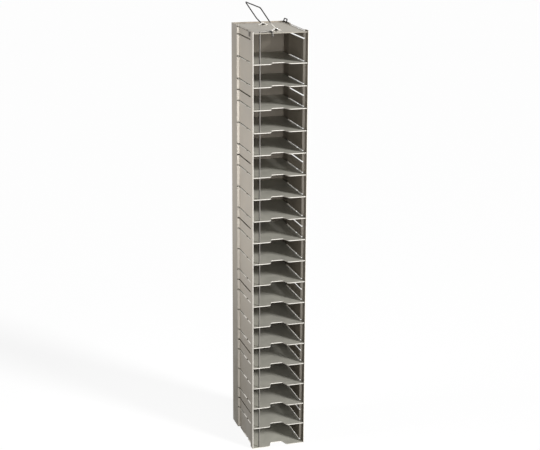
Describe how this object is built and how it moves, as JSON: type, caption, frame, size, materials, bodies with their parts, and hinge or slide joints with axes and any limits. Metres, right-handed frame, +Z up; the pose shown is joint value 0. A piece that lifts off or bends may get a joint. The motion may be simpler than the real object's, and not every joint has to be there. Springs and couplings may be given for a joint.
{
  "type": "freezer storage rack",
  "caption": "Tall open-fronted sheet-metal rack of stacked bays for tube racks in an ultra-low freezer, with a lift-out locking rod and a swinging carrying bail.",
  "frame": {"origin": "centre of the footprint, on the surface the rack stands on", "axes": "+Z up along the rack's height; the open front faces -Y; +X is to the right seen from the front"},
  "size_m": [0.096, 0.1382, 0.7777],
  "materials": {
    "panel_steel": "satin, warm grey",
    "shelf_steel": "satin",
    "lid_steel": "satin",
    "saddle_steel": "bright",
    "wire_steel": "drawn wire, semi-bright"
  },
  "bodies": {
    "rack": {"left_side_panel": "panel_steel", "right_side_panel": "panel_steel", "back_panel": "panel_steel", "floor_plate": "shelf_steel", "shelf_01": "shelf_steel", "shelf_02": "shelf_steel", "shelf_03": "shelf_steel", "shelf_04": "shelf_steel", "shelf_05": "shelf_steel", "shelf_06": "shelf_steel", "shelf_07": "shelf_steel", "shelf_08": "shelf_steel", "shelf_09": "shelf_steel", "shelf_10": "shelf_steel", "shelf_11": "shelf_steel", "shelf_12": "shelf_steel", "shelf_13": "shelf_steel", "shelf_14": "shelf_steel", "shelf_15": "shelf_steel", "shelf_16": "shelf_steel", "shelf_17": "shelf_steel", "shelf_18": "shelf_steel", "top_plate": "lid_steel", "front_bail_saddle": "saddle_steel", "rear_bail_saddle": "saddle_steel", "corner_wire_loop": "wire_steel"},
    "rod": {"locking_rod": "wire_steel"},
    "bail": {"bail_handle": "wire_steel"}
  },
  "joints": [
    {"name": "rod_lift", "type": "slide", "parent": "rack", "child": "rod", "axis": [0, 0, 1], "range_m": [0, 0.745]},
    {"name": "bail_swing", "type": "hinge", "parent": "rack", "child": "bail", "pos_m": [0, 0, 0.7393], "axis": [0, 1, 0], "range_deg": [-44, 125]}
  ]
}
